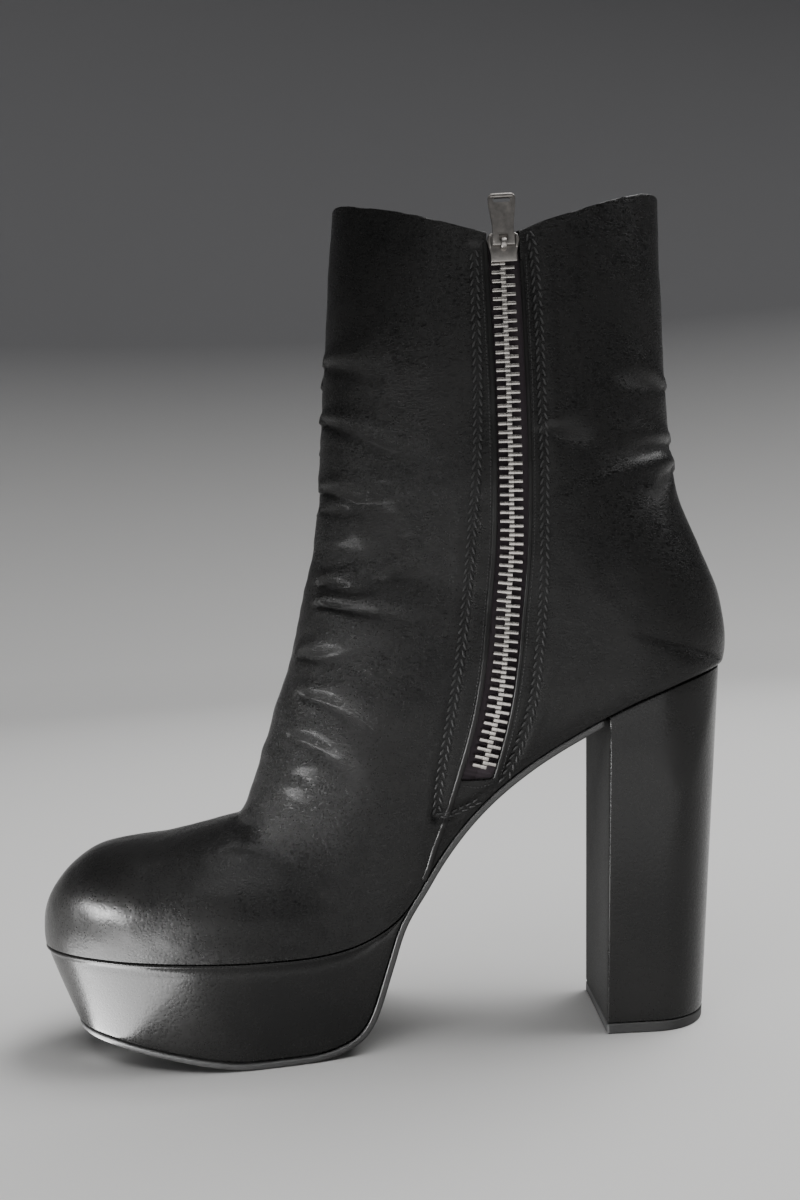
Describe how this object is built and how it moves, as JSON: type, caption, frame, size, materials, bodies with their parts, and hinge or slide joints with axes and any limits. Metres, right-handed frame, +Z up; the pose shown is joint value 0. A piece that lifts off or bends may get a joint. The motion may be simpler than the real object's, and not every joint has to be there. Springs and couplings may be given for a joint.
{
  "type": "platform boot",
  "caption": "Black leather platform ankle boot with a round toe, a leather-covered platform, a tall block heel and an exposed metal zip on its inner side",
  "frame": {"origin": "centre of the heel's base, on the floor", "axes": "+X from the heel to the toe, +Y to the inner side with the zip, +Z up"},
  "size_m": [0.2442, 0.095, 0.2886],
  "materials": {
    "upper_leather": "soft black calf, worn satin with shallow creases",
    "cover_leather": "black calf stretched smooth over platform and heel, polished",
    "sock_leather": "matt black lining leather",
    "outsole_rubber": "matt black",
    "top_lift_rubber": "matt black",
    "zip_cloth": "black woven tape",
    "zip_metal": "nickel, slightly dulled"
  },
  "bodies": {
    "boot": {"upper": "upper_leather", "insole": "sock_leather", "platform": "cover_leather", "outsole": "outsole_rubber", "heel": "cover_leather", "top_lift": "top_lift_rubber", "zip_tape": "zip_cloth", "zip_teeth_front": "zip_metal", "zip_teeth_rear": "zip_metal", "zip_slider": "zip_metal"},
    "pull": {"zip_pull": "zip_metal"}
  },
  "joints": [
    {"name": "pull_hinge", "type": "hinge", "parent": "boot", "child": "pull", "pos_m": [0.03935, 0.03574, 0.26548], "axis": [-1, 0, 0], "range_deg": [0, 180]}
  ]
}
